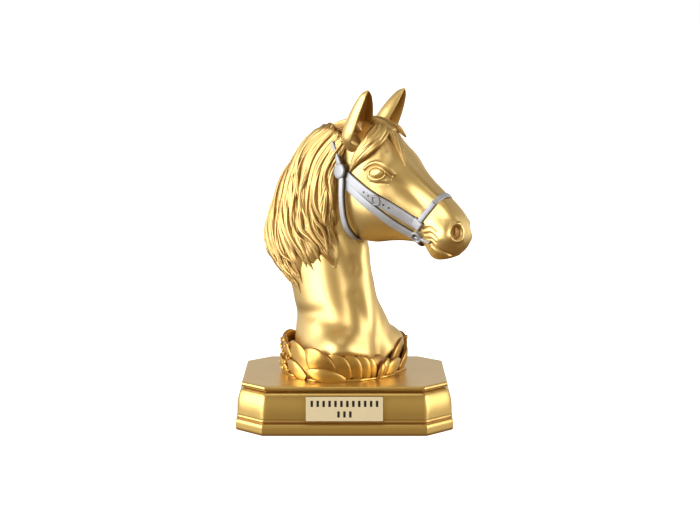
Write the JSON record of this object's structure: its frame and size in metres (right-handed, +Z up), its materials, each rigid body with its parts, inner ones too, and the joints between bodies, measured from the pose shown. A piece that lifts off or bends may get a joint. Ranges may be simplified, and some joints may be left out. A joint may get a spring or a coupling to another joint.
{
  "type": "horse head trophy",
  "caption": "Gilded horse head bust with flowing mane, silver halter and a laurel garland at its foot, on a moulded plinth with cut corners and a name plate on the front.",
  "frame": {"origin": "middle of the plinth's flat underside", "axes": "+Z up, the longest way. The name plate faces -Y, +X is to the right of it, and the horse looks towards +X and a little -Y"},
  "size_m": [0.1365, 0.1036, 0.1976],
  "materials": {
    "gilt_bust": "cast resin in satin gold paint with browner recesses; the halter is picked out in silver paint",
    "gilt_plinth": "cast resin in satin gold paint",
    "pale_plate": "pale gold anodised plate with a dark border and dark filled strokes"
  },
  "bodies": {
    "root": {"horse_bust": "gilt_bust", "plinth": "gilt_plinth", "name_plate": "pale_plate"}
  },
  "joints": []
}
